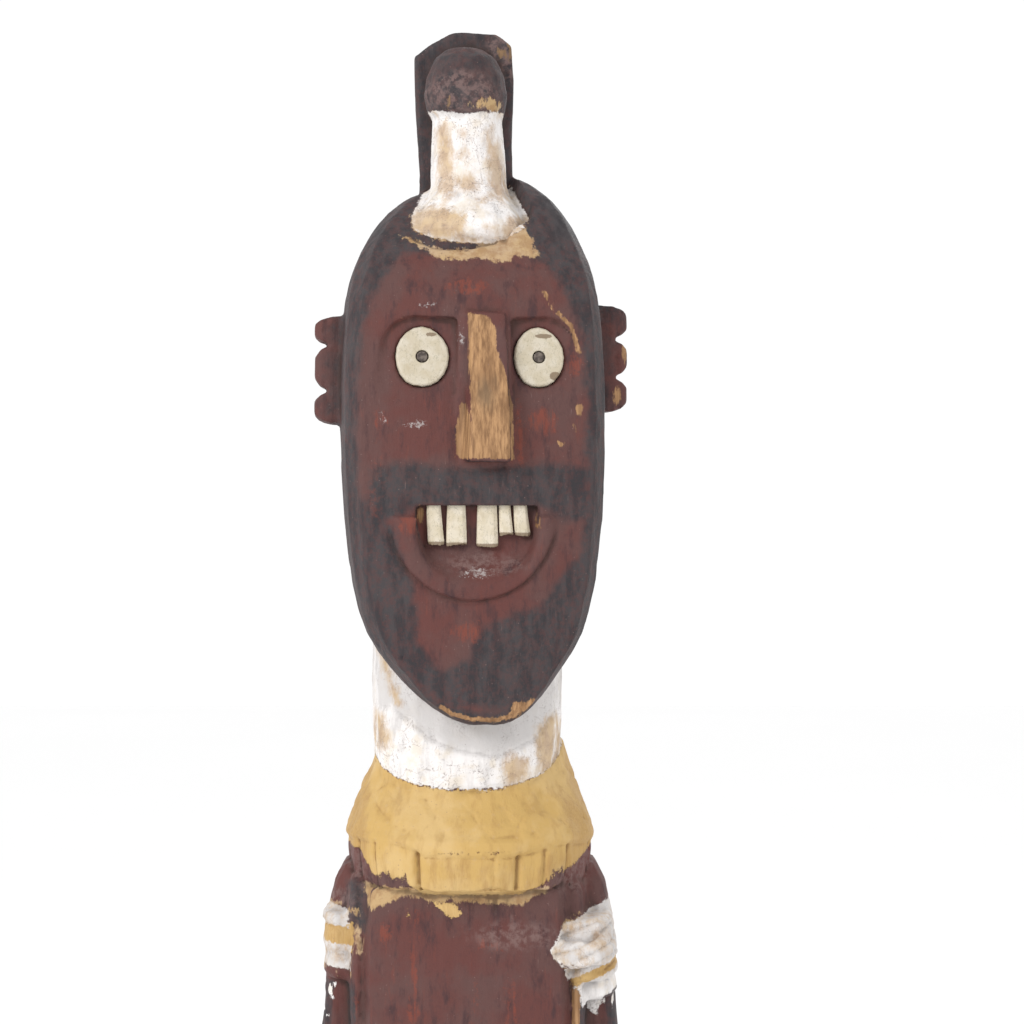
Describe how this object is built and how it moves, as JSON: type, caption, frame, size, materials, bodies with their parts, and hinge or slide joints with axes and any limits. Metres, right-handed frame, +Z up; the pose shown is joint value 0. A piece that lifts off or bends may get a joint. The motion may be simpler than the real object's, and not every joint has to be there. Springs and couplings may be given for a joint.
{
  "type": "carved ancestor figure",
  "caption": "Tall standing ancestor figure carved from one log, painted, with a slab topknot, inlaid disc eyes and slip teeth, ruffled collar, armlets and a low base.",
  "frame": {"origin": "middle of the flat underside of the base, on the ground", "axes": "+Z up along the log, the face looks towards -Y, +X to the right in the picture"},
  "size_m": [0.156, 0.158, 0.881],
  "materials": {
    "painted_wood": "hand-carved wood with worn earth-colour paint",
    "shell": "worn shell or bone",
    "dark_wood": "dull dark wood"
  },
  "bodies": {
    "root": {"carved_figure": "painted_wood", "eye_disc_left": "shell", "eye_disc_right": "shell", "eye_peg_left": "dark_wood", "eye_peg_right": "dark_wood", "tooth_1": "shell", "tooth_2": "shell", "tooth_3": "shell", "tooth_4": "shell", "tooth_5": "shell"}
  },
  "joints": []
}
